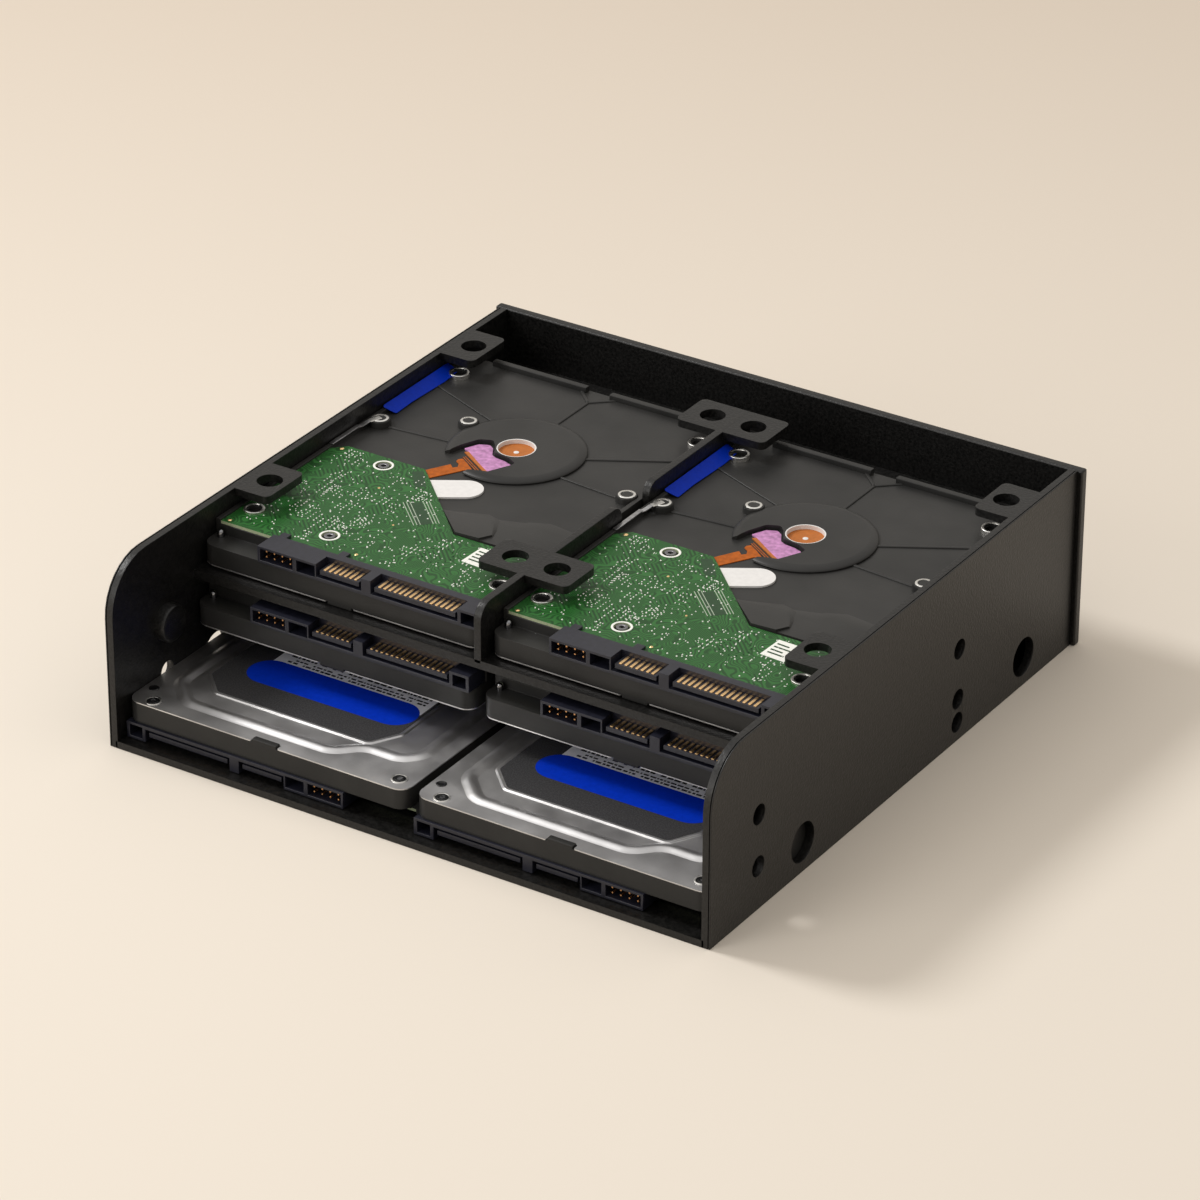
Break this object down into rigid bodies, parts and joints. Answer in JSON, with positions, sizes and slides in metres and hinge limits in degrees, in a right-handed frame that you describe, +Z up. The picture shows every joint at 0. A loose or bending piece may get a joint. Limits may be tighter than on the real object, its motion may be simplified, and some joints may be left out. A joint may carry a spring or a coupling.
{
  "type": "drive mounting frame",
  "caption": "Open black plastic frame that fits a half-height bay and carries small hard drives in pairs on a base, under a shelf and on it, with drilled side walls, tabs and a plain bezel.",
  "frame": {"origin": "centre of the overall box at the underside of the base plate", "axes": "+X across the frame to the right wall seen from the connector end, +Y from the open connector end to the bezel, +Z up from the base to the tabs"},
  "size_m": [0.1484, 0.1482, 0.042],
  "materials": {
    "frame_black": "fine textured matte plastic",
    "casting_grey": "dark grey coated die casting",
    "cover_steel": "bright stamped sheet",
    "board_green": "solder-resist lacquer over copper tracks",
    "connector_dark": "moulded plastic",
    "contact_gold": "gold plated"
  },
  "bodies": {
    "frame": {"base_plate": "frame_black", "side_wall_left": "frame_black", "side_wall_right": "frame_black", "shelf_plate": "frame_black", "centre_divider": "frame_black", "front_bezel": "frame_black", "middle_left_casting": "casting_grey", "middle_left_cover": "cover_steel", "middle_left_circuit_board": "board_green", "middle_left_connector": "connector_dark", "middle_left_contacts": "contact_gold", "middle_right_casting": "casting_grey", "middle_right_cover": "cover_steel", "middle_right_circuit_board": "board_green", "middle_right_connector": "connector_dark", "middle_right_contacts": "contact_gold", "lower_left_casting": "casting_grey", "lower_left_cover": "cover_steel", "lower_left_circuit_board": "board_green", "lower_left_connector": "connector_dark", "lower_left_contacts": "contact_gold", "lower_right_casting": "casting_grey", "lower_right_cover": "cover_steel", "lower_right_circuit_board": "board_green", "lower_right_connector": "connector_dark", "lower_right_contacts": "contact_gold"},
    "upper_left_drive": {"upper_left_casting": "casting_grey", "upper_left_cover": "cover_steel", "upper_left_circuit_board": "board_green", "upper_left_connector": "connector_dark", "upper_left_contacts": "contact_gold"},
    "upper_right_drive": {"upper_right_casting": "casting_grey", "upper_right_cover": "cover_steel", "upper_right_circuit_board": "board_green", "upper_right_connector": "connector_dark", "upper_right_contacts": "contact_gold"}
  },
  "joints": [
    {"name": "upper_left_drive_slide", "type": "slide", "parent": "frame", "child": "upper_left_drive", "axis": [0, -1, 0], "range_m": [-0.00575, 0.075]},
    {"name": "upper_right_drive_slide", "type": "slide", "parent": "frame", "child": "upper_right_drive", "axis": [0, -1, 0], "range_m": [-0.00575, 0.075]}
  ]
}
